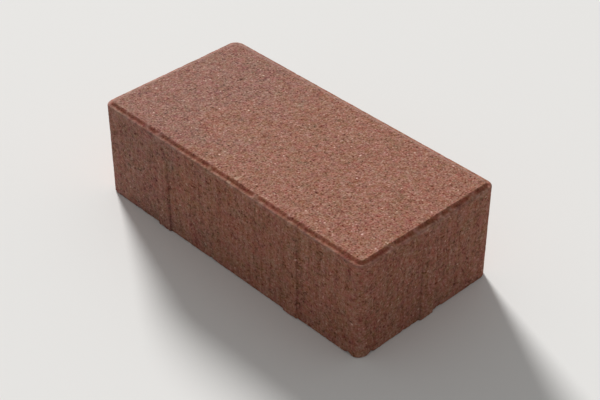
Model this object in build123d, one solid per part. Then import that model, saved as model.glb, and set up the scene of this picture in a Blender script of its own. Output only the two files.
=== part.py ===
from build123d import *
import os

# Rectangular concrete paving stone, pressed in one piece.
# Millimetres, +Z up. The origin is the middle of the underside, +X runs along
# the stone and +Y across it.

# Laid grid and thickness
module_length = 200.0
module_width = 100.0
joint = 2.0
thickness = 60.0

# Border that the press stamp leaves around the walking face
shoulder_run = 1.5
shoulder_height = 1.2
rim_run = 2.0
rim_drop = 0.35
face_corner_radius = 2.3

# Small roundings of the arrises and of the shoulder's foot
face_arris_radius = 0.5
shoulder_foot_radius = 0.3
rim_arris_radius = 0.8
base_arris_radius = 0.6

# Spacer ribs on the sides, which keep the joint open
rib_width = 10.0
rib_top_depth = 12.0
rib_top_slope = 3.0
rib_edge_chamfer = 0.6
rib_root = 2.0

# Sizes that follow from these
length = module_length - joint
width = module_width - joint
shoulder_foot = thickness - shoulder_height
side_height = shoulder_foot - rim_drop
border = shoulder_run + rim_run
corner_radius = face_corner_radius + border
rib_proud = joint / 2
rib_height = thickness - rib_top_depth


def outline(inset, level):
    """Plan outline of the stone at a height, drawn in from its sides by inset."""
    plan = RectangleRounded(length - 2 * inset, width - 2 * inset, corner_radius - inset)
    return Pos(0, 0, level) * plan


def slope(low_inset, low_level, high_inset, high_level):
    """Slice of the stone whose sides lean in from the lower outline to the upper one."""
    return loft([outline(low_inset, low_level), outline(high_inset, high_level)], ruled=True)


def edges_at(shape, level):
    """Edges that lie at one height."""
    return shape.edges().filter_by_position(Axis.Z, level - 0.001, level + 0.001)


def stone_body():
    """Stone without its ribs: upright sides, sloping rim, shoulder and flat walking face."""
    sides = extrude(outline(0, 0), amount=side_height)
    rim = slope(0, side_height, rim_run, shoulder_foot)
    shoulder = slope(rim_run, shoulder_foot, border, thickness)
    body = sides + rim + shoulder
    body = fillet(edges_at(body, thickness), face_arris_radius)
    body = fillet(edges_at(body, shoulder_foot), shoulder_foot_radius)
    body = fillet(edges_at(body, side_height), rim_arris_radius)
    return fillet(edges_at(body, 0), base_arris_radius)


def spacer_rib():
    """One rib against the plane y = 0, standing proud towards -Y, sloped off at its top."""
    with BuildPart() as rib:
        with BuildSketch(Plane.YZ):
            with BuildLine():
                Polyline(
                    (rib_root, 0),
                    (-rib_proud, 0),
                    (-rib_proud, rib_height - rib_top_slope),
                    (0, rib_height),
                    (rib_root, rib_height),
                    close=True,
                )
            make_face()
        extrude(amount=rib_width / 2, both=True)
        outer = rib.edges().filter_by(Axis.Z).group_by(Axis.Y)[0]
        chamfer(outer, rib_edge_chamfer)
    return rib.part


def rib_places():
    """Places of the ribs: quarter points of the long sides, middle of the short ones.

    Laid stones then meet rib to rib in a running, stacked or herringbone bond."""
    quarter = module_length / 4
    front = [Pos(x, -width / 2, 0) for x in (-quarter, quarter)]
    right = [Pos(length / 2, 0, 0) * Rot(0, 0, 90)]
    near_half = front + right
    return near_half + [Rot(0, 0, 180) * place for place in near_half]


def paving_stone():
    """The whole stone."""
    stone = stone_body()
    for place in rib_places():
        stone += place * spacer_rib()
    stone.label = "paving_stone"
    return stone


os.makedirs("parts", exist_ok=True)
export_step(paving_stone(), "parts/paving_stone.step")
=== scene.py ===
"""Concrete paving stone: its pressed and sanded surface, its colour, and a plain studio stage."""

import math

import bmesh
import bpy
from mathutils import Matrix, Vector, noise


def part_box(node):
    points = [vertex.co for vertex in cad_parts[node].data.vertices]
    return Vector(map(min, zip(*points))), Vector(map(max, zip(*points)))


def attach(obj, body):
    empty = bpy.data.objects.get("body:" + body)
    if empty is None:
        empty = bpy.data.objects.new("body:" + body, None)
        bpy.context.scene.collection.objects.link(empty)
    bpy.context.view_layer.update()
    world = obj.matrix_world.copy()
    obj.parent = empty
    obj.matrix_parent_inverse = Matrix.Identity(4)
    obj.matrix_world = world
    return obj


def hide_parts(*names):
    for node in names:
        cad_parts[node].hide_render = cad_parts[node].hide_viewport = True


bl_info = {
    "name": "Concrete Paving Stone",
    "version": (1, 0, 0),
    "blender": (4, 5, 0),
    "location": "View3D > Sidebar > Paving Stone",
    "description": "Builds a pressed concrete paving stone and the stage it is shown on",
    "category": "Add Mesh",
}

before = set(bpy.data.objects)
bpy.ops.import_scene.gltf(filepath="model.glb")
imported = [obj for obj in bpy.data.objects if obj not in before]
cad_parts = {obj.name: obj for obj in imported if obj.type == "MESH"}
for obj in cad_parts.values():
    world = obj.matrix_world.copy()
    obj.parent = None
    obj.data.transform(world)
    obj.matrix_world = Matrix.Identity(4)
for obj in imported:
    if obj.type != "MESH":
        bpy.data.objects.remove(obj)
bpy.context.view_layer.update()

NODE = "paving_stone"
BODY = "root"

MM = 0.001
NODE_LOW, NODE_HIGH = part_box(NODE)

# Vertex attributes that the material reads
PRESSED = "pressed"
SHADED_HOLLOW = "hollow"
STEP_SHADE = "shoulder"
WORN = "worn"
BORDER = "border"
SHEENED_AND_WORN = "bleached"

# Depth below the rim over which the pressed look fades, and half the fading of the border's look
PRESSED_FADE = 3.0 * MM
BORDER_FADE = 0.3 * MM

# Painted shade: a darker, redder band on the step where it faces away from the lamp; distance of its
# middle from the step's foot, and half its width
BAND_SHIFT = 0.5 * MM
BAND_REACH = 1.25 * MM

# Worn strip of the face: distance of its middle from the arris, reach, and depth to which it counts
WORN_SHIFT = 1.3 * MM
WORN_REACH = 1.2 * MM
FACE_SKIN = 0.1 * MM

# Reach of the crumbling from the arris of the face, of the rim and of the underside
FACE_CRUMBLING = 0.5625 * MM
RIM_CRUMBLING = 0.6923 * MM
BASE_CRUMBLING = 0.9 * MM

# Reach of the painted sheen from the face's arris and of the paler colour from the rim's arris, and of
# the filling from the foot of the step
FACE_SHEEN_REACH = 0.8 * MM
RIM_PALLOR_REACH = 1.0 * MM
FILLING = 0.9 * MM

# Direction in which the sides face away from the lamp: there the step gets painted shade and the face's
# arris no painted sheen; and the cosine to it within which that fades
FRONT_RIGHT = Vector((1, -1)).normalized()
LAMP_SIDE_FADE = 5 / 9

# Shift of the relief's patterns from the origin, and of the fine one from the coarse one
RELIEF_SHIFT = Vector((0.137, 0.071, 0.0293))
FINE_SHIFT = Vector((0.05, 0.0, 0.0))

# Hollows between the sand of the face: share of the coarse and of the fine ones, and how fine those are
COARSE_SHARE = 0.7
FINE_SHARE = 0.5
FINE_SCALE = 0.6

# Open pores of the face: radius of the widest, share of it that the narrowest has, share of the places
# that have a pore, and the scale and shift that give each place a lot of its own
PORE_RADIUS = 0.75 * MM
PORE_NARROWEST = 0.45
PORE_SHARE = 0.30
PORE_SPREAD = 8.7
PORE_SEED = Vector((0.31, 0.17, 0.53))

# How much less relief, and how much shallower pores, the border has than the face
BORDER_SMOOTHNESS = 0.65
BORDER_CLOSENESS = 0.7

# Hollows of the sides: share of the dragged, lumpy and fine ones, and the size of the first two
DRAGGED_SHARE = 0.45
LUMPY_SHARE = 0.5
SIDE_FINE_SHARE = 0.25
DRAGGED_SIZE = (2.4 * MM, 2.4 * MM, 16.0 * MM)
LUMPY_SCALE = 1.8

# Open voids of the sides: values of the noise at which they open and are deepest, strength and scale of
# the finer noise that makes them ragged, and how much painted shade they get against a pore
VOID_RANGE = (0.38, 0.60)
RAG_STRENGTH = 0.35
RAG_SCALE = 0.45
VOID_SHADE = 0.35

# Crumbled arrises: value of the noise at which they crumble, and what that and the sand add in depth
CRUMBLED_FROM = 0.05
CRUMBLED_SHARE = 1.2
LOOSE_SAND_SHARE = 0.25

# Paler, greyer colour of the rim's arris: least share, and what a crumbled place adds to it
RIM_PALLOR = 0.30
CRUMBLED_PALLOR = 1.6

# Filled foot of the step: values of the noise at which it starts and is full, and the share of the
# step's painted shade that it hides
FILLED_RANGE = (0.18, 0.43)
FILLED_COVER = 0.85

# Part of a noise texture's range that is used
NOISE_RANGE = (0.3, 0.7)

# Cloudy patches of the tone: shift of the pattern, width, and how much lighter or darker they are
CLOUDS = [
    ((0.3, 0.0, 0.0), 9.0 * MM, 0.07),
    ((0.0, 0.5, 0.0), 2.2 * MM, 0.24),
    ((0.0, 0.0, 0.7), 1.0 * MM, 0.46),
]

# Stretches along the stone over which the colour goes from grey brown to brown, and on to orange brown
TO_BROWN = (-52.0 * MM, -24.0 * MM)
TO_ORANGE = (-24.0 * MM, 94.0 * MM)

# Lobes in which the colours pass into each other: their width, and how far they reach
LOBES = [(45.0 * MM, 22.0 * MM), (14.0 * MM, 16.0 * MM)]

# Patches of sand of another hue: change of colour, shift of the pattern, width, and how far they reach
HUES = [
    ("yellowing", (0.9, 0.1, 0.0), 12.0 * MM, 0.42),
    ("yellowing", (0.1, 0.6, 0.3), 4.0 * MM, 0.62),
    ("yellowing", (0.4, 0.7, 0.2), 1.3 * MM, 0.80),
    ("greying", (0.8, 0.2, 0.6), 4.0 * MM, 0.95),
]

# Common sand grains: distance apart, contrast, shares of that distance between which they round off,
# and height of the lowest against the highest
SAND_SPACING = 1.25 * MM
SAND_CONTRAST = 0.52
SAND_ROUNDING = (0.15, 0.75)
LOWEST_SAND = 0.35

# Single grains that stand out: shift of the pattern, distance apart, share of the places, radius, tone
SINGLE_GRAINS = [
    ((0.2, 0.4, 0.0), 2.3 * MM, 0.14, 0.50 * MM, 1.0),
    ((0.7, 0.2, 0.5), 2.1 * MM, 0.24, 0.50 * MM, -0.38),
    ((0.5, 0.8, 0.1), 6.5 * MM, 0.45, 0.60 * MM, 1.6),
]

# Share of a single grain's radius at which it starts to fade, and at which it has faded
GRAIN_EDGE = (0.6, 1.2)

# Height of the sand grains, height and width of the grit between them, and the border's share of both
SAND_HEIGHT = 0.11 * MM
GRIT_HEIGHT = 0.09 * MM
GRIT_SIZE = 0.45 * MM
BORDER_GRIT = 0.5

# Painted shade: how much darker the bottom of a pore and of a small void is; and how much lighter the
# worn strip is
HOLLOW_SHADE_STRENGTH = 0.5
VOID_BOTTOM_SHADE = 0.3
WORN_LIGHTNESS = 0.10

# Contrast of the sides and of the border against the face's, the darkest tone, and the most that the
# painted sheen and the paler worn arris show
SIDE_CONTRAST = 0.7
BORDER_CONTRAST = 0.55
DARKEST = -0.7
MOST_SHEENED_AND_WORN = 0.7

# Patches of greater and lesser roughness: their width, and how much rougher or smoother they are
ROUGHNESS_SIZE = 1.2 * MM
ROUGHNESS_SPREAD = 0.06

# Lighter and darker stretches of the border: shift of the pattern, length, contrast, and the share of
# it that the shoulder lacks
PATCH_SHIFT = (0.2, 0.9, 0.4)
PATCH_LENGTH = 4.0 * MM
PATCH_CONTRAST = 0.44
PATCH_LOSS = 0.40

# Small open voids of the sides: shift of the pattern, width, values of the noise at their edge, depth
VOID_SHIFT = (0.6, 0.3, 0.9)
VOID_WIDTH = 2.4 * MM
VOID_EDGE = (0.60, 0.68)
VOID_HEIGHT = 0.35 * MM

# Upright streaks of the sides: width, the same as a share of their length, and contrast
STREAK_WIDTH = 2.2 * MM
STREAK_STRETCH = 0.07
STREAK_CONTRAST = 0.16

# Share of a pale fleck's radius at which it starts to fade
FLECK_CORE = 0.3

# Pale flecks: place along and across the stone, depth below the face, radius, strength
FLECKS = [
    (5.3 * MM, -43.7 * MM, 0.0 * MM, 1.9 * MM, 0.55),
    (4.0 * MM, -47.8 * MM, 1.4 * MM, 1.3 * MM, 0.60),
    (2.9 * MM, -47.8 * MM, 1.4 * MM, 1.1 * MM, 0.50),
    (7.5 * MM, -7.0 * MM, 0.0 * MM, 0.8 * MM, 0.60),
    (-16.0 * MM, -15.6 * MM, 0.0 * MM, 0.7 * MM, 0.55),
    (-20.0 * MM, -26.0 * MM, 0.0 * MM, 0.7 * MM, 0.60),
    (-14.0 * MM, -25.6 * MM, 0.0 * MM, 0.7 * MM, 0.50),
    (6.0 * MM, -28.7 * MM, 0.0 * MM, 0.8 * MM, 0.55),
    (66.0 * MM, -24.0 * MM, 0.0 * MM, 0.8 * MM, 0.50),
    (-11.5 * MM, -43.0 * MM, 0.0 * MM, 1.2 * MM, 0.40),
]

# Sockets of a colour Mix node
MIX_SHARE, MIX_A, MIX_B, MIX_RESULT = 0, 6, 7, 2

# Strength of light straight from above at which a colour renders as it is written
FULL_LIGHT = math.pi

WHITE = (1.0, 1.0, 1.0, 1.0)

# Gap between the underside and the floor, which keeps the two faces apart
FLOOR_GAP = 0.05 * MM


class StoneSizes(bpy.types.PropertyGroup):
    """Sizes of the stone and of the net its surface is made of."""

    joint: bpy.props.FloatProperty(
        name="Joint",
        description="Gap between laid stones, kept open by the ribs of both",
        default=2.0 * MM,
        unit="LENGTH",
    )
    shoulder_run: bpy.props.FloatProperty(
        name="Shoulder run",
        description="Width of the steep step beside the walking face",
        default=1.5 * MM,
        unit="LENGTH",
    )
    shoulder_height: bpy.props.FloatProperty(
        name="Shoulder height",
        description="Height of the steep step beside the walking face",
        default=1.2 * MM,
        unit="LENGTH",
    )
    rim_run: bpy.props.FloatProperty(
        name="Rim run",
        description="Width of the gentle slope between the step and the side",
        default=2.0 * MM,
        unit="LENGTH",
    )
    rim_drop: bpy.props.FloatProperty(
        name="Rim drop",
        description="Height that the gentle slope loses towards the side",
        default=0.35 * MM,
        unit="LENGTH",
    )
    corner_radius: bpy.props.FloatProperty(
        name="Corner radius",
        description="Radius of the stone's corners in plan",
        default=5.8 * MM,
        unit="LENGTH",
    )
    face_arris_radius: bpy.props.FloatProperty(
        name="Face arris radius",
        description="Rounding along the edge of the walking face",
        default=0.5 * MM,
        unit="LENGTH",
    )
    foot_radius: bpy.props.FloatProperty(
        name="Foot radius",
        description="Rounding in the angle between step and rim",
        default=0.3 * MM,
        unit="LENGTH",
    )
    rim_arris_radius: bpy.props.FloatProperty(
        name="Rim arris radius",
        description="Rounding between the rim and the side",
        default=0.8 * MM,
        unit="LENGTH",
    )
    base_arris_radius: bpy.props.FloatProperty(
        name="Base arris radius",
        description="Rounding between the side and the underside",
        default=0.6 * MM,
        unit="LENGTH",
    )
    rib_width: bpy.props.FloatProperty(
        name="Rib width",
        description="Width of a spacer rib",
        default=10.0 * MM,
        unit="LENGTH",
    )
    rib_top_depth: bpy.props.FloatProperty(
        name="Rib depth",
        description="Depth of a rib's upper end below the walking face",
        default=12.0 * MM,
        unit="LENGTH",
    )
    rib_top_slope: bpy.props.FloatProperty(
        name="Rib slope",
        description="Height over which a rib runs out at its upper end",
        default=3.0 * MM,
        unit="LENGTH",
    )
    rib_edge_chamfer: bpy.props.FloatProperty(
        name="Rib chamfer",
        description="Chamfer along a rib's upright edges",
        default=0.6 * MM,
        unit="LENGTH",
    )
    net: bpy.props.FloatProperty(
        name="Net",
        description="Width of a mesh face on the sides; those of the top are half as wide",
        default=1.26 * MM,
        unit="LENGTH",
    )


class StoneRelief(bpy.types.PropertyGroup):
    """Depth and size of the surface's unevenness."""

    grain_depth: bpy.props.FloatProperty(
        name="Grain depth",
        description="Depth of the fine sandy relief of the walking face",
        default=0.14 * MM,
        unit="LENGTH",
    )
    grain_size: bpy.props.FloatProperty(
        name="Grain size",
        description="Width of the fine sandy relief",
        default=1.5 * MM,
        unit="LENGTH",
    )
    swell_depth: bpy.props.FloatProperty(
        name="Swell depth",
        description="Depth of the broad unevenness of the walking face",
        default=0.06 * MM,
        unit="LENGTH",
    )
    swell_size: bpy.props.FloatProperty(
        name="Swell size",
        description="Width of the broad unevenness",
        default=18.0 * MM,
        unit="LENGTH",
    )
    pit_depth: bpy.props.FloatProperty(
        name="Pit depth",
        description="Depth of a small open pore",
        default=0.3 * MM,
        unit="LENGTH",
    )
    pit_spacing: bpy.props.FloatProperty(
        name="Pit spacing",
        description="Distance between neighbouring places for a pore",
        default=4.5 * MM,
        unit="LENGTH",
    )
    wear_depth: bpy.props.FloatProperty(
        name="Wear depth",
        description="Depth to which the arrises have crumbled",
        default=0.20 * MM,
        unit="LENGTH",
    )
    wear_size: bpy.props.FloatProperty(
        name="Wear size",
        description="Length of a crumbled place along an arris",
        default=4.0 * MM,
        unit="LENGTH",
    )
    fill_height: bpy.props.FloatProperty(
        name="Fill height",
        description="Height to which sand has filled the foot of the step here and there",
        default=0.35 * MM,
        unit="LENGTH",
    )
    fill_size: bpy.props.FloatProperty(
        name="Fill size",
        description="Length over which that filling comes and goes",
        default=6.0 * MM,
        unit="LENGTH",
    )
    side_depth: bpy.props.FloatProperty(
        name="Side depth",
        description="Depth of the coarser relief of the sides and the underside",
        default=0.22 * MM,
        unit="LENGTH",
    )
    void_depth: bpy.props.FloatProperty(
        name="Void depth",
        description="Depth of the open voids of the sides and the underside",
        default=0.7 * MM,
        unit="LENGTH",
    )
    void_size: bpy.props.FloatProperty(
        name="Void size",
        description="Distance over which the open voids come and go",
        default=4.0 * MM,
        unit="LENGTH",
    )


class StoneColours(bpy.types.PropertyGroup):
    """Colours of the concrete."""

    grey_brown: bpy.props.FloatVectorProperty(
        name="Grey brown",
        description="Colour at the stone's left end",
        default=(0.2875, 0.135, 0.099),
        subtype="COLOR",
    )
    brown: bpy.props.FloatVectorProperty(
        name="Brown",
        description="Colour left of the stone's middle",
        default=(0.302, 0.1355, 0.090),
        subtype="COLOR",
    )
    orange_brown: bpy.props.FloatVectorProperty(
        name="Orange brown",
        description="Colour at the stone's right end",
        default=(0.296, 0.127, 0.084),
        subtype="COLOR",
    )
    yellowing: bpy.props.FloatVectorProperty(
        name="Yellowing",
        description="What the yellowest sand adds to the colour, and the pinkest takes from it",
        default=(-0.030, 0.012, -0.002),
    )
    greying: bpy.props.FloatVectorProperty(
        name="Greying",
        description="What the greyest sand adds to the colour, and the most orange takes from it",
        default=(-0.010, 0.001, 0.011),
    )
    lightening: bpy.props.FloatVectorProperty(
        name="Lightening",
        description="What a grain twice as light as the mean adds to the colour",
        default=(0.208, 0.170, 0.151),
        subtype="COLOR",
    )
    darkening: bpy.props.FloatVectorProperty(
        name="Darkening",
        description="What a quite black grain would take from the colour",
        default=(0.26, 0.1415, 0.098),
        subtype="COLOR",
    )
    pale_grain: bpy.props.FloatVectorProperty(
        name="Pale grain",
        description="Colour of the palest flecks",
        default=(0.52, 0.35, 0.25),
        subtype="COLOR",
    )
    # Painted shade: the step of the front and right sides, which face away from the lamp, is darker and
    # redder
    step_shade_tint: bpy.props.FloatVectorProperty(
        name="Shoulder tint",
        description="What the colour of the step beside the face is multiplied by",
        default=(0.87, 0.61, 0.53),
        subtype="COLOR",
    )
    # Painted sheen on the face's arris where it faces the lamp, and the paler colour of the worn rim
    # arris
    sheened_and_worn_arris: bpy.props.FloatVectorProperty(
        name="Bleached arris",
        description="Colour of the face's arris where it is bleached",
        default=(0.33, 0.20, 0.165),
        subtype="COLOR",
    )
    roughness: bpy.props.FloatProperty(
        name="Roughness",
        description="Mean roughness of the concrete",
        default=0.88,
        subtype="FACTOR",
        min=0.0,
        max=1.0,
    )


class StageSettings(bpy.types.PropertyGroup):
    """Floor, light and camera."""

    floor_colour: bpy.props.FloatVectorProperty(
        name="Floor colour",
        description="Colour of the floor and of the distance behind it",
        default=(0.78, 0.77, 0.75),
        subtype="COLOR",
    )
    floor_size: bpy.props.FloatProperty(
        name="Floor size",
        description="Half the width of the floor",
        default=8.0,
        unit="LENGTH",
    )
    lamp_from: bpy.props.FloatVectorProperty(
        name="Lamp from",
        description="Direction from the stone towards the lamp",
        default=(-2.5, 1.2, 1.25),
        subtype="XYZ",
    )
    lamp_share: bpy.props.FloatProperty(
        name="Lamp share",
        description="Share of a level face's light that comes from the lamp",
        default=0.64,
        subtype="FACTOR",
    )
    lamp_softness: bpy.props.FloatProperty(
        name="Lamp softness",
        description="Angle that the lamp spans, seen from the stone",
        default=math.radians(13),
        subtype="ANGLE",
    )
    camera_from: bpy.props.FloatVectorProperty(
        name="Camera from",
        description="Place of the camera",
        default=(0.4522, -0.4266, 0.4894),
        subtype="XYZ",
        unit="LENGTH",
    )
    camera_aim: bpy.props.FloatVectorProperty(
        name="Camera aim",
        description="Point that the camera looks at",
        default=(0.0121, -0.0058, 0.03),
        subtype="XYZ",
        unit="LENGTH",
    )
    lens: bpy.props.FloatProperty(
        name="Lens",
        description="Focal length in millimetres on a 36 mm wide picture",
        default=86.0,
    )


def plan_lines(half, flat, net, corner_cuts, marks):
    """Positions of the net's lines across the plan, from one side to the other.

    They pass through the marks, and each rounded corner has corner_cuts of them."""
    stops = sorted({-flat, flat, *marks})
    lines = [-half + (half - flat) * step / corner_cuts for step in range(corner_cuts)]
    for start, end in zip(stops, stops[1:]):
        steps = max(round((end - start) / net), 1)
        lines += [start + (end - start) * step / steps for step in range(steps)]
    return [*lines, flat, *(-line for line in reversed(lines[:corner_cuts]))]


class StoneForm:
    """The stone's rounded plan and the levels of its border, and the ways points move in them."""

    def __init__(self, sizes):
        self.half_x = NODE_HIGH.x - sizes.joint / 2
        self.half_y = NODE_HIGH.y - sizes.joint / 2
        self.radius = sizes.corner_radius
        self.flat_x = self.half_x - self.radius
        self.flat_y = self.half_y - self.radius
        self.top = NODE_HIGH.z
        self.foot = self.top - sizes.shoulder_height
        self.rim_edge = self.foot - sizes.rim_drop
        self.rim_run = sizes.rim_run
        self.border = sizes.shoulder_run + sizes.rim_run
        self.rib_height = self.top - sizes.rib_top_depth

    def rounded(self, x, y, inset):
        """Where a point of the full rectangle goes when its corners are rounded and it is drawn in."""
        over_x = max(abs(x) - self.flat_x, 0) / self.radius
        over_y = max(abs(y) - self.flat_y, 0) / self.radius
        reach = self.radius - inset
        far_x = min(abs(x), self.flat_x) + reach * over_x * math.sqrt(1 - over_y**2 / 2)
        far_y = min(abs(y), self.flat_y) + reach * over_y * math.sqrt(1 - over_x**2 / 2)
        return math.copysign(far_x, x), math.copysign(far_y, y)

    def outward(self, point):
        """Nearest point of the plan's core, and the direction from it to the point."""
        core = Vector(
            (
                max(-self.flat_x, min(self.flat_x, point.x)),
                max(-self.flat_y, min(self.flat_y, point.y)),
            )
        )
        return core, point.xy - core

    def at_inset(self, point, inset, level):
        """The point moved along its outward direction to an inset, at a level."""
        core, away = self.outward(point)
        place = core + away.normalized() * (self.radius - inset)
        return Vector((place.x, place.y, level))

    def inset_of(self, point):
        """How far the point lies inside the stone's side."""
        return self.radius - self.outward(point)[1].length


def halved(lines):
    """The lines with one more midway between each pair."""
    between = [(a + b) / 2 for a, b in zip(lines, lines[1:])]
    return sorted(lines + between)


def add_face_net(mesh, form, lines_x, lines_y, inset, level):
    """A level net with rounded corners; returns the edges of its outline, in a fixed order."""
    last_x, last_y = len(lines_x) - 1, len(lines_y) - 1
    made = bmesh.ops.create_grid(mesh, x_segments=last_x, y_segments=last_y, size=1)
    for vert in made["verts"]:
        x = lines_x[round((vert.co.x + 1) / 2 * last_x)]
        y = lines_y[round((vert.co.y + 1) / 2 * last_y)]
        vert.co = (*form.rounded(x, y, inset), level)
    outline = [edge for vert in made["verts"] for edge in vert.link_edges if edge.is_boundary]
    return list(dict.fromkeys(outline))


def extrude_rows(mesh, form, edges, rows):
    """Extrudes the outline through rows of (inset, level); returns the last row's edges."""
    for inset, level in rows:
        made = bmesh.ops.extrude_edge_only(mesh, edges=edges)["geom"]
        edges = [item for item in made if isinstance(item, bmesh.types.BMEdge)]
        edges = [edge for edge in edges if edge.is_boundary]
        for vert in {vert for edge in edges for vert in edge.verts}:
            vert.co = form.at_inset(vert.co, inset, level)
    return edges


def round_edges(mesh, level, radius, segments):
    """Rounds the outline's edges that lie at a level."""
    tolerance = 0.01 * MM
    least_turn = 0.1
    chosen = [
        edge
        for edge in mesh.edges
        if all(abs(vert.co.z - level) < tolerance for vert in edge.verts)
        and len(edge.link_faces) == 2
        and edge.calc_face_angle() > least_turn
    ]
    turn = chosen[0].calc_face_angle()
    bmesh.ops.bevel(
        mesh,
        geom=chosen,
        offset=radius * math.tan(turn / 2),
        offset_type="OFFSET",
        segments=segments,
        profile=0.5,
        affect="EDGES",
        clamp_overlap=True,
        material=-1,
    )


def rib_marks(sizes, centres):
    """Net lines that a row of ribs needs: their edges and the inner edges of their chamfers."""
    half = sizes.rib_width / 2
    inner = half - sizes.rib_edge_chamfer
    return [centre + side for centre in centres for side in (-half, -inner, inner, half)]


def side_levels(stops, net):
    """Levels of the rows of a side, through the stops, about a net's width apart."""
    levels = []
    for start, end in zip(stops, stops[1:]):
        steps = max(round((end - start) / net), 1)
        levels += [start + (end - start) * step / steps for step in range(1, steps + 1)]
    return levels


def raise_ribs(mesh, form, sizes, centres_x, centres_y):
    """Extrudes the spacer ribs from the sides."""
    proud = sizes.joint / 2
    half = sizes.rib_width / 2
    within_base_arris = sizes.base_arris_radius * 0.98
    most_level = 0.95

    def along(point):
        """Distance to the middle line of the nearest rib of the side that the point is on."""
        away = form.outward(point)[1]
        if abs(away.x) > abs(away.y):
            return min(abs(point.y - centre) for centre in centres_y)
        return min(abs(point.x - centre) for centre in centres_x)

    def is_rib(face):
        centre = face.calc_center_median()
        on_side = form.inset_of(centre) < within_base_arris and abs(face.normal.z) < most_level
        return on_side and along(centre) < half and centre.z < form.rib_height

    mesh.normal_update()
    faces = [face for face in mesh.faces if is_rib(face)]
    made = bmesh.ops.extrude_face_region(mesh, geom=faces)["geom"]
    bmesh.ops.delete(mesh, geom=faces, context="FACES")
    for vert in [item for item in made if isinstance(item, bmesh.types.BMVert)]:
        from_edge = half - along(vert.co)
        chamfered = proud - sizes.rib_edge_chamfer + from_edge
        sloped = proud * (form.rib_height - vert.co.z) / sizes.rib_top_slope
        offset = max(min(proud, chamfered, sloped), 0)
        inset = form.inset_of(vert.co)
        vert.co = form.at_inset(vert.co, inset - offset, vert.co.z)


def stone_net(form, sizes):
    """The stone's even form as a fine net: face, step, rim, sides, ribs and underside."""
    net = sizes.net
    quarter = (NODE_HIGH.x - NODE_LOW.x) / 4
    centres_x, centres_y = (-quarter, quarter), (0.0,)
    corner_cuts = 3
    lines_x = plan_lines(form.half_x, form.flat_x, net, corner_cuts, rib_marks(sizes, centres_x))
    lines_y = plan_lines(form.half_y, form.flat_y, net, corner_cuts, rib_marks(sizes, centres_y))

    mesh = bmesh.new()
    upper = add_face_net(mesh, form, halved(lines_x), halved(lines_y), form.border, form.top)
    shoulder_middle = ((form.rim_run + form.border) / 2, (form.top + form.foot) / 2)
    rim_middle = (form.rim_run / 2, (form.foot + form.rim_edge) / 2)
    below_rim = (0, form.rim_edge - net)
    rows = [shoulder_middle, (form.rim_run, form.foot), rim_middle, (0, form.rim_edge), below_rim]
    upper = extrude_rows(mesh, form, upper, rows)

    lower = add_face_net(mesh, form, lines_x, lines_y, 0, 0)
    stops = (0, form.rib_height - sizes.rib_top_slope, form.rib_height, form.rim_edge - 2 * net)
    rows = [(0, level) for level in side_levels(stops, net)]
    lower = extrude_rows(mesh, form, lower, rows)
    bmesh.ops.bridge_loops(mesh, edges=upper + lower)
    bmesh.ops.recalc_face_normals(mesh, faces=mesh.faces)

    round_edges(mesh, form.top, sizes.face_arris_radius, segments=2)
    round_edges(mesh, form.foot, sizes.foot_radius, segments=2)
    round_edges(mesh, form.rim_edge, sizes.rim_arris_radius, segments=3)
    round_edges(mesh, 0, sizes.base_arris_radius, segments=2)
    raise_ribs(mesh, form, sizes, centres_x, centres_y)
    bmesh.ops.remove_doubles(mesh, verts=mesh.verts, dist=0.001 * MM)
    bmesh.ops.recalc_face_normals(mesh, faces=mesh.faces)
    return mesh


def rise(value, low, high):
    """Share that grows from 0 at the low value to 1 at the high one."""
    return max(0.0, min(1.0, (value - low) / (high - low)))


def near(distance, reach):
    """Share that is 1 at no distance and fades softly about the reach."""
    return math.exp(-((distance / reach) ** 2))


def shares_at(point, form):
    """How far a point belongs to each part of the surface, from 0 to 1."""
    inset, level = form.inset_of(point), point.z
    to_face_arris = math.hypot(inset - form.border, level - form.top)
    to_foot = math.hypot(inset - form.rim_run, level - form.foot)
    to_rim_arris = math.hypot(inset, level - form.rim_edge)
    to_base_arris = math.hypot(inset, level)

    pressed = rise(level, form.rim_edge - PRESSED_FADE, form.rim_edge)
    across_band = (inset - form.rim_run - BAND_SHIFT) / BAND_REACH
    on_band = max(0.0, 1 - across_band**2) if level > form.rim_edge else 0.0
    from_arris = inset - form.border - WORN_SHIFT
    # Front and right face away from the lamp: their step gets painted shade, the other sides' face
    # arris painted sheen
    towards = form.outward(point)[1].normalized().dot(FRONT_RIGHT)
    away_from_lamp = rise(towards, -LAMP_SIDE_FADE, LAMP_SIDE_FADE)
    return {
        PRESSED: pressed,
        BORDER: rise(form.border - inset, -BORDER_FADE, BORDER_FADE) * pressed,
        STEP_SHADE: on_band * away_from_lamp,
        WORN: near(from_arris, WORN_REACH) if level > form.top - FACE_SKIN else 0.0,
        # Painted sheen on the face's arris of the sides that face the lamp
        SHEENED_AND_WORN: (1 - away_from_lamp) * near(to_face_arris, FACE_SHEEN_REACH),
        "rim arris": near(to_rim_arris, RIM_PALLOR_REACH),
        "foot": near(to_foot, FILLING),
        "arris": max(
            near(to_face_arris, FACE_CRUMBLING),
            near(to_rim_arris, RIM_CRUMBLING),
            near(to_base_arris, BASE_CRUMBLING),
        ),
    }


def pore_at(place, spacing):
    """Depth, from 0 to 1, of the open pore of the face at a place."""
    distances, middles = noise.voronoi(place / spacing)
    lot = noise.cell(middles[0] * PORE_SPREAD + PORE_SEED)
    if lot > PORE_SHARE:
        return 0.0
    narrowing = PORE_NARROWEST + (1 - PORE_NARROWEST) * lot / PORE_SHARE
    radius = PORE_RADIUS / spacing * narrowing
    return max(0.0, 1 - (distances[0] / radius) ** 2)


def valley(place, size):
    """Depth, from 0 to about 1, of the hollows between grains of a size."""
    middle, steepness = 0.15, 1.3
    return max(0.0, middle + steepness * noise.noise(place / size))


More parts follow.
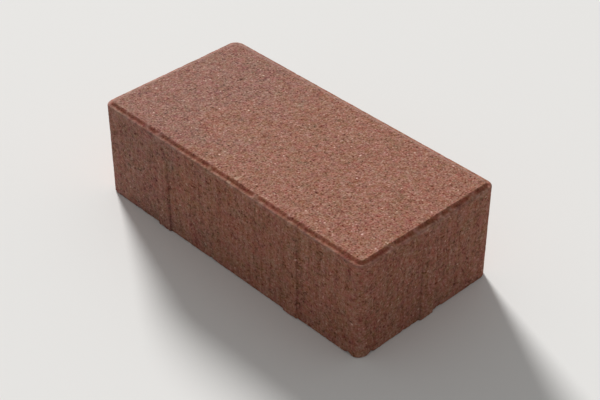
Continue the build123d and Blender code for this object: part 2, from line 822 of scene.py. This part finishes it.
def face_depth(place, coarse, fine, relief):
    """Depth of the sandy relief of the walking face at a place."""
    swell = 0.5 + 0.5 * noise.noise(place / relief.swell_size)
    sandy = relief.grain_depth * (COARSE_SHARE * coarse + FINE_SHARE * fine)
    return sandy + relief.swell_depth * swell


def side_depth(place, fine, void, relief):
    """Depth of the coarser relief of the sides and the underside at a place."""
    dragged = valley(Vector([value / size for value, size in zip(place, DRAGGED_SIZE)]), 1.0)
    lumpy = valley(place, relief.grain_size * LUMPY_SCALE)
    hollows = DRAGGED_SHARE * dragged + LUMPY_SHARE * lumpy + SIDE_FINE_SHARE * fine
    return relief.side_depth * hollows + relief.void_depth * void


def void_at(place, relief):
    """Depth, from 0 to 1, of the open voids of the sides at a place."""
    ragged = noise.noise(place / (RAG_SCALE * relief.void_size))
    return rise(noise.noise(place / relief.void_size) + RAG_STRENGTH * ragged, *VOID_RANGE)


def relief_at(point, form, relief):
    """Depth below the even form at a point, and the values of the material's attributes there."""
    place = point + RELIEF_SHIFT
    shares = shares_at(point, form)
    pressed, border = shares[PRESSED], shares[BORDER]
    coarse = valley(place, relief.grain_size)
    fine = valley(place + FINE_SHIFT, relief.grain_size * FINE_SCALE)
    void = void_at(place, relief)
    pore = pore_at(place, relief.pit_spacing) * (1 - BORDER_CLOSENESS * border)
    crumbled = max(0.0, noise.noise(place / relief.wear_size) - CRUMBLED_FROM)
    filled = rise(noise.noise(place / relief.fill_size), *FILLED_RANGE)

    depth = pressed * face_depth(place, coarse, fine, relief) * (1 - BORDER_SMOOTHNESS * border)
    depth += pressed * relief.pit_depth * pore
    depth += (1 - pressed) * side_depth(place, fine, void, relief)
    worn_away = LOOSE_SAND_SHARE * coarse + CRUMBLED_SHARE * crumbled
    depth += relief.wear_depth * shares["arris"] * worn_away
    depth -= relief.fill_height * shares["foot"] * filled

    # Paler rim arris, more where it has crumbled
    pale_worn_rim = shares["rim arris"] * (RIM_PALLOR + CRUMBLED_PALLOR * crumbled)
    values = {
        PRESSED: pressed,
        BORDER: border,
        # Painted shade for the bottoms of pores and voids
        SHADED_HOLLOW: pressed * pore + VOID_SHADE * (1 - pressed) * void,
        # Painted shade on the step, less where sand fills its foot
        STEP_SHADE: shares[STEP_SHADE] * (1 - FILLED_COVER * filled),
        WORN: shares[WORN],
        # Painted sheen on the face's arris facing the lamp, and the paler worn rim arris
        SHEENED_AND_WORN: min(1.0, shares[SHEENED_AND_WORN] + pale_worn_rim),
    }
    return depth, values


def roughen(mesh, form, relief):
    """Gives each vertex its relief, and keeps what the material needs to know about it."""
    mesh.normal_update()
    names = (PRESSED, BORDER, SHADED_HOLLOW, STEP_SHADE, WORN, SHEENED_AND_WORN)
    layers = {name: mesh.verts.layers.float.new(name) for name in names}
    places = []
    for vert in mesh.verts:
        depth, values = relief_at(vert.co, form, relief)
        places.append(vert.co - vert.normal * depth)
        for name, value in values.items():
            vert[layers[name]] = value
    for vert, place in zip(mesh.verts, places):
        limits = zip(NODE_LOW, place, NODE_HIGH)
        vert.co = [max(low, min(high, value)) for low, value, high in limits]
    for face in mesh.faces:
        face.smooth = True


def node(tree, kind, inputs=None, **settings):
    """New node with its settings, and with values or links for its inputs."""
    made = tree.nodes.new(kind)
    for name, value in settings.items():
        setattr(made, name, value)
    for name, value in (inputs or {}).items():
        if isinstance(value, bpy.types.NodeSocket):
            tree.links.new(value, made.inputs[name])
        else:
            made.inputs[name].default_value = value
    return made


def maths(tree, operation, first, second):
    """Result of a sum, a product or a comparison of two values."""
    return node(tree, "ShaderNodeMath", {0: first, 1: second}, operation=operation).outputs[0]


def vector_maths(tree, operation, first, second):
    """Result of a sum or product of two vectors or colours."""
    inputs = {0: first, 1: second}
    return node(tree, "ShaderNodeVectorMath", inputs, operation=operation).outputs["Vector"]


def added(tree, colour, amount, change):
    """Colour plus an amount of a change of colour."""
    inputs = {0: tuple(change), 1: amount, 2: colour}
    return node(tree, "ShaderNodeVectorMath", inputs, operation="MULTIPLY_ADD").outputs["Vector"]


def blended(tree, share, first, second):
    """Colour between two colours."""
    inputs = {MIX_SHARE: share, MIX_A: first, MIX_B: second}
    return node(tree, "ShaderNodeMix", inputs, data_type="RGBA").outputs[MIX_RESULT]


def opaque(colour):
    """The colour as a shader's socket takes it."""
    return (*colour, 1.0)


def ramp(tree, value, low, high, to_low, to_high, shape="LINEAR"):
    """Value mapped from one range to another and held at its ends."""
    inputs = {"Value": value, "From Min": low, "From Max": high, "To Min": to_low, "To Max": to_high}
    return node(tree, "ShaderNodeMapRange", inputs, interpolation_type=shape).outputs["Result"]


def scaled(tree, share, at_none, at_all):
    """Value that goes from one to the other as a share goes from 0 to 1."""
    return ramp(tree, share, 0.0, 1.0, at_none, at_all)


def attribute(tree, name):
    """Value of a vertex attribute."""
    return node(tree, "ShaderNodeAttribute", attribute_name=name).outputs["Fac"]


def speckle(tree, place, size, detail=2.0, roughness=0.6):
    """Noise whose patches are about as wide as size, from 0 to 1."""
    inputs = {"Vector": place, "Scale": 1 / size, "Detail": detail, "Roughness": roughness}
    return node(tree, "ShaderNodeTexNoise", inputs).outputs["Fac"]


def patches(tree, place, size, reach, **kind):
    """Patches of a size, whose values go from -reach to reach."""
    return ramp(tree, speckle(tree, place, size, **kind), *NOISE_RANGE, -reach, reach)


def cells(tree, place, spacing):
    """Net of irregular cells: distance to each cell's middle, and lots drawn for each cell."""
    net = node(tree, "ShaderNodeTexVoronoi", {"Vector": place, "Scale": 1 / spacing}).outputs
    lots = node(tree, "ShaderNodeSeparateColor", {0: net["Color"]}).outputs
    return net["Distance"], lots


def shifted(tree, place, offset):
    """The coordinates moved, so that two patterns don't fall together."""
    return vector_maths(tree, "ADD", place, offset)


def sand_grains(tree, place):
    """Common sand grains: their tone, from -1 to 1, and their rounded height, from 0 to 1."""
    distance, lots = cells(tree, place, SAND_SPACING)
    height = ramp(tree, distance, *SAND_ROUNDING, 1.0, 0.0, "SMOOTHSTEP")
    tone = maths(tree, "MULTIPLY", scaled(tree, lots["Red"], -1.0, 1.0), height)
    size = scaled(tree, lots["Blue"], LOWEST_SAND, 1.0)
    return tone, maths(tree, "MULTIPLY", height, size)


def single_grains(tree, place, spacing, share, radius):
    """Grains that stand out: 1 on a grain and 0 beside it, for a share of the cells."""
    distance, lots = cells(tree, place, spacing)
    core, edge = (part * radius / spacing for part in GRAIN_EDGE)
    spot = ramp(tree, distance, core, edge, 1.0, 0.0)
    return maths(tree, "MULTIPLY", spot, maths(tree, "LESS_THAN", lots["Red"], share))


def side_share(tree):
    """1 on the sides and the underside, 0 on the pressed top."""
    return maths(tree, "SUBTRACT", 1.0, attribute(tree, PRESSED))


def side_voids(tree, place):
    """Small open voids of the sides and the underside: 1 in a void and 0 beside it."""
    gaps = speckle(tree, shifted(tree, place, VOID_SHIFT), VOID_WIDTH, detail=2.5, roughness=0.55)
    opened = ramp(tree, gaps, *VOID_EDGE, 0.0, 1.0, "SMOOTHSTEP")
    return maths(tree, "MULTIPLY", opened, side_share(tree))


def side_streaks(tree, place):
    """Upright streaks that the mould dragged over the sides, lighter and darker."""
    stretched = vector_maths(tree, "MULTIPLY", place, (1.0, 1.0, STREAK_STRETCH))
    streaks = patches(tree, stretched, STREAK_WIDTH, STREAK_CONTRAST)
    return maths(tree, "MULTIPLY", streaks, side_share(tree))


def border_patches(tree, place):
    """Lighter and darker stretches of the border, which show most on its rim."""
    stretches = patches(tree, shifted(tree, place, PATCH_SHIFT), PATCH_LENGTH, PATCH_CONTRAST)
    less = maths(tree, "MULTIPLY", attribute(tree, STEP_SHADE), PATCH_LOSS)
    return maths(tree, "MULTIPLY", stretches, maths(tree, "SUBTRACT", attribute(tree, BORDER), less))


def tone_of(tree, place, sand, voids):
    """How much lighter or darker than its mean the concrete is, with painted shade in pores and voids.
    """
    tone = maths(tree, "MULTIPLY", sand, SAND_CONTRAST)
    for shift, size, spread in CLOUDS:
        tone = maths(tree, "ADD", tone, patches(tree, shifted(tree, place, shift), size, spread))
    for shift, spacing, share, radius, strength in SINGLE_GRAINS:
        grains = single_grains(tree, shifted(tree, place, shift), spacing, share, radius)
        tone = maths(tree, "ADD", tone, maths(tree, "MULTIPLY", grains, strength))
    # Painted shade at the bottoms of pores and voids
    hollow = maths(tree, "MULTIPLY", attribute(tree, SHADED_HOLLOW), HOLLOW_SHADE_STRENGTH)
    tone = maths(tree, "SUBTRACT", tone, hollow)
    tone = maths(tree, "MULTIPLY", tone, scaled(tree, attribute(tree, PRESSED), SIDE_CONTRAST, 1.0))
    tone = maths(tree, "MULTIPLY", tone, scaled(tree, attribute(tree, BORDER), 1.0, BORDER_CONTRAST))
    tone = maths(tree, "ADD", tone, border_patches(tree, place))
    tone = maths(tree, "ADD", tone, side_streaks(tree, place))
    # Painted shade in the small voids of the sides
    tone = maths(tree, "SUBTRACT", tone, maths(tree, "MULTIPLY", voids, VOID_BOTTOM_SHADE))
    return maths(tree, "ADD", tone, maths(tree, "MULTIPLY", attribute(tree, WORN), WORN_LIGHTNESS))


def drifting_colour(tree, place, colours):
    """Colour that drifts along the stone and changes in lobes."""
    along = node(tree, "ShaderNodeSeparateXYZ", {0: place}).outputs["X"]
    for size, reach in LOBES:
        along = maths(tree, "ADD", along, patches(tree, place, size, reach))
    browned = ramp(tree, along, *TO_BROWN, 0.0, 1.0)
    turned_orange = ramp(tree, along, *TO_ORANGE, 0.0, 1.0)
    colour = blended(tree, browned, opaque(colours.grey_brown), opaque(colours.brown))
    return blended(tree, turned_orange, colour, opaque(colours.orange_brown))


def fleck(tree, place, x, y, depth, radius, strength):
    """Soft round spot about a point of the top, as strong as strength in its middle."""
    ends = {0: place, 1: (x, y, NODE_HIGH.z - depth)}
    away = node(tree, "ShaderNodeVectorMath", ends, operation="DISTANCE").outputs["Value"]
    return ramp(tree, away, radius * FLECK_CORE, radius, strength, 0.0, "SMOOTHSTEP")


def concrete_colour(tree, place, sand, voids, colours):
    """Colour of the concrete: drift, hues, tones, painted step shade, painted arris sheen and wear,
    flecks.
    """
    colour = drifting_colour(tree, place, colours)
    for change, shift, size, reach in HUES:
        amount = patches(tree, shifted(tree, place, shift), size, reach, detail=3.0, roughness=0.65)
        colour = added(tree, colour, amount, getattr(colours, change))

    tone = tone_of(tree, place, sand, voids)
    colour = added(tree, colour, maths(tree, "MAXIMUM", tone, 0.0), colours.lightening)
    colour = added(tree, colour, ramp(tree, tone, DARKEST, 0.0, DARKEST, 0.0), colours.darkening)

    # Painted shade: the step of the sides that face away from the lamp, darker and redder
    tint = blended(tree, attribute(tree, STEP_SHADE), WHITE, opaque(colours.step_shade_tint))
    colour = vector_maths(tree, "MULTIPLY", colour, tint)
    # Painted sheen on the face's arris where it faces the lamp, and the paler worn rim arris
    bleached = maths(tree, "MULTIPLY", attribute(tree, SHEENED_AND_WORN), MOST_SHEENED_AND_WORN)
    colour = blended(tree, bleached, colour, opaque(colours.sheened_and_worn_arris))
    pale = 0.0
    for values in FLECKS:
        pale = maths(tree, "MAXIMUM", fleck(tree, place, *values), pale)
    return blended(tree, pale, colour, opaque(colours.pale_grain))


def fine_relief(tree, place, sand_height, voids):
    """Height of the sand, the grit and the small voids, which are too fine for the mesh."""
    grit = speckle(tree, place, GRIT_SIZE, detail=3.0, roughness=0.7)
    grit = maths(tree, "MULTIPLY", grit, GRIT_HEIGHT)
    sand = maths(tree, "MULTIPLY", sand_height, SAND_HEIGHT)
    height = maths(tree, "ADD", grit, sand)
    height = maths(tree, "MULTIPLY", height, scaled(tree, attribute(tree, BORDER), 1.0, BORDER_GRIT))
    return maths(tree, "SUBTRACT", height, maths(tree, "MULTIPLY", voids, VOID_HEIGHT))


def concrete_material(colours):
    """Matt, finely sandy, through-coloured concrete."""
    material = bpy.data.materials.new("pressed_concrete")
    material.use_nodes = True
    tree = material.node_tree
    tree.nodes.clear()
    place = node(tree, "ShaderNodeTexCoord").outputs["Object"]
    sand, sand_height = sand_grains(tree, place)
    voids = side_voids(tree, place)
    height = fine_relief(tree, place, sand_height, voids)
    bump = node(tree, "ShaderNodeBump", {"Height": height, "Strength": 1.0, "Distance": 1.0})
    smoothest, roughest = colours.roughness - ROUGHNESS_SPREAD, colours.roughness + ROUGHNESS_SPREAD
    spread = speckle(tree, place, ROUGHNESS_SIZE)
    shader = node(
        tree,
        "ShaderNodeBsdfPrincipled",
        {
            "Base Color": concrete_colour(tree, place, sand, voids, colours),
            "Roughness": ramp(tree, spread, *NOISE_RANGE, smoothest, roughest),
            "Normal": bump.outputs["Normal"],
            "Specular IOR Level": 0.05,
        },
    )
    node(tree, "ShaderNodeOutputMaterial", {"Surface": shader.outputs["BSDF"]})
    return material


def link_mesh(mesh, name, material):
    """Object at the origin that holds a bmesh, linked to the scene."""
    data = bpy.data.meshes.new(name)
    mesh.to_mesh(data)
    mesh.free()
    data.materials.append(material)
    thing = bpy.data.objects.new(name, data)
    bpy.context.scene.collection.objects.link(thing)
    return thing


class PAVING_OT_stone(bpy.types.Operator):
    """Build the paving stone with its border, ribs and sandy surface"""

    bl_idname = "paving.stone"
    bl_label = "Paving Stone"

    def execute(self, context):
        scene = context.scene
        form = StoneForm(scene.stone_sizes)
        mesh = stone_net(form, scene.stone_sizes)
        roughen(mesh, form, scene.stone_relief)
        stone = link_mesh(mesh, "stone", concrete_material(scene.stone_colours))
        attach(stone, BODY)
        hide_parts(NODE)
        return {"FINISHED"}


def add_floor(settings):
    """Wide level floor that the stone lies on."""
    mesh = bmesh.new()
    bmesh.ops.create_grid(mesh, x_segments=1, y_segments=1, size=settings.floor_size)
    bmesh.ops.translate(mesh, verts=mesh.verts, vec=(0, 0, NODE_LOW.z - FLOOR_GAP))
    material = bpy.data.materials.new("plain_floor")
    material.use_nodes = True
    shader = material.node_tree.nodes["Principled BSDF"]
    shader.inputs["Base Color"].default_value = opaque(settings.floor_colour)
    shader.inputs["Roughness"].default_value = 0.9
    shader.inputs["Specular IOR Level"].default_value = 0.1
    link_mesh(mesh, "floor", material)


def add_light(settings):
    """Soft low lamp and an even sky, in which a level face's colour renders as it is written."""
    towards = Vector(settings.lamp_from).normalized()
    lamp = bpy.data.lights.new("lamp", "SUN")
    lamp.energy = FULL_LIGHT * settings.lamp_share / towards.z
    lamp.angle = settings.lamp_softness
    holder = bpy.data.objects.new("lamp", lamp)
    holder.rotation_euler = towards.to_track_quat("Z", "Y").to_euler()
    bpy.context.scene.collection.objects.link(holder)

    world = bpy.data.worlds.new("sky")
    world.use_nodes = True
    tree = world.node_tree
    tree.nodes.clear()
    rays = node(tree, "ShaderNodeLightPath").outputs
    seen = maths(tree, "MAXIMUM", rays["Is Camera Ray"], rays["Is Glossy Ray"])
    seen = maths(tree, "MAXIMUM", seen, rays["Is Transmission Ray"])
    sky = node(tree, "ShaderNodeBackground", {"Color": WHITE, "Strength": 1 - settings.lamp_share})
    pale = opaque(settings.floor_colour)
    distance = node(tree, "ShaderNodeBackground", {"Color": pale, "Strength": 1.0})
    mixed = node(tree, "ShaderNodeMixShader", {0: seen, 1: sky.outputs[0], 2: distance.outputs[0]})
    node(tree, "ShaderNodeOutputWorld", {"Surface": mixed.outputs[0]})
    bpy.context.scene.world = world


def add_camera(settings):
    """Camera that looks down on the stone from its front right corner."""
    data = bpy.data.cameras.new("camera")
    data.lens = settings.lens
    data.sensor_width = 36.0
    data.clip_start, data.clip_end = 0.01, 50.0
    camera = bpy.data.objects.new("camera", data)
    camera.location = settings.camera_from
    look = Vector(settings.camera_aim) - Vector(settings.camera_from)
    camera.rotation_euler = look.to_track_quat("-Z", "Y").to_euler()
    bpy.context.scene.collection.objects.link(camera)
    bpy.context.scene.camera = camera


class PAVING_OT_stage(bpy.types.Operator):
    """Lay the floor and set the light and the camera"""

    bl_idname = "paving.stage"
    bl_label = "Stage"

    def execute(self, context):
        settings = context.scene.stage_settings
        add_floor(settings)
        add_light(settings)
        add_camera(settings)
        context.scene.view_settings.view_transform = "Standard"
        return {"FINISHED"}


class PAVING_PT_panel(bpy.types.Panel):
    """Sizes, relief, colours and stage of the paving stone"""

    bl_idname = "PAVING_PT_panel"
    bl_label = "Paving Stone"
    bl_space_type = "VIEW_3D"
    bl_region_type = "UI"
    bl_category = "Paving Stone"

    def draw(self, context):
        scene = context.scene
        for group in (scene.stone_sizes, scene.stone_relief, scene.stone_colours, scene.stage_settings):
            box = self.layout.box()
            box.label(text=group.bl_rna.description)
            for name in group.__annotations__:
                box.prop(group, name)
        self.layout.operator(PAVING_OT_stone.bl_idname)
        self.layout.operator(PAVING_OT_stage.bl_idname)


GROUPS = {
    "stone_sizes": StoneSizes,
    "stone_relief": StoneRelief,
    "stone_colours": StoneColours,
    "stage_settings": StageSettings,
}
CLASSES = (*GROUPS.values(), PAVING_OT_stone, PAVING_OT_stage, PAVING_PT_panel)


def register():
    for kind in CLASSES:
        bpy.utils.register_class(kind)
    for name, group in GROUPS.items():
        setattr(bpy.types.Scene, name, bpy.props.PointerProperty(type=group))


def unregister():
    for name in GROUPS:
        delattr(bpy.types.Scene, name)
    for kind in reversed(CLASSES):
        bpy.utils.unregister_class(kind)


def main():
    register()
    bpy.ops.paving.stone()
    bpy.ops.paving.stage()


if __name__ == "__main__":
    main()
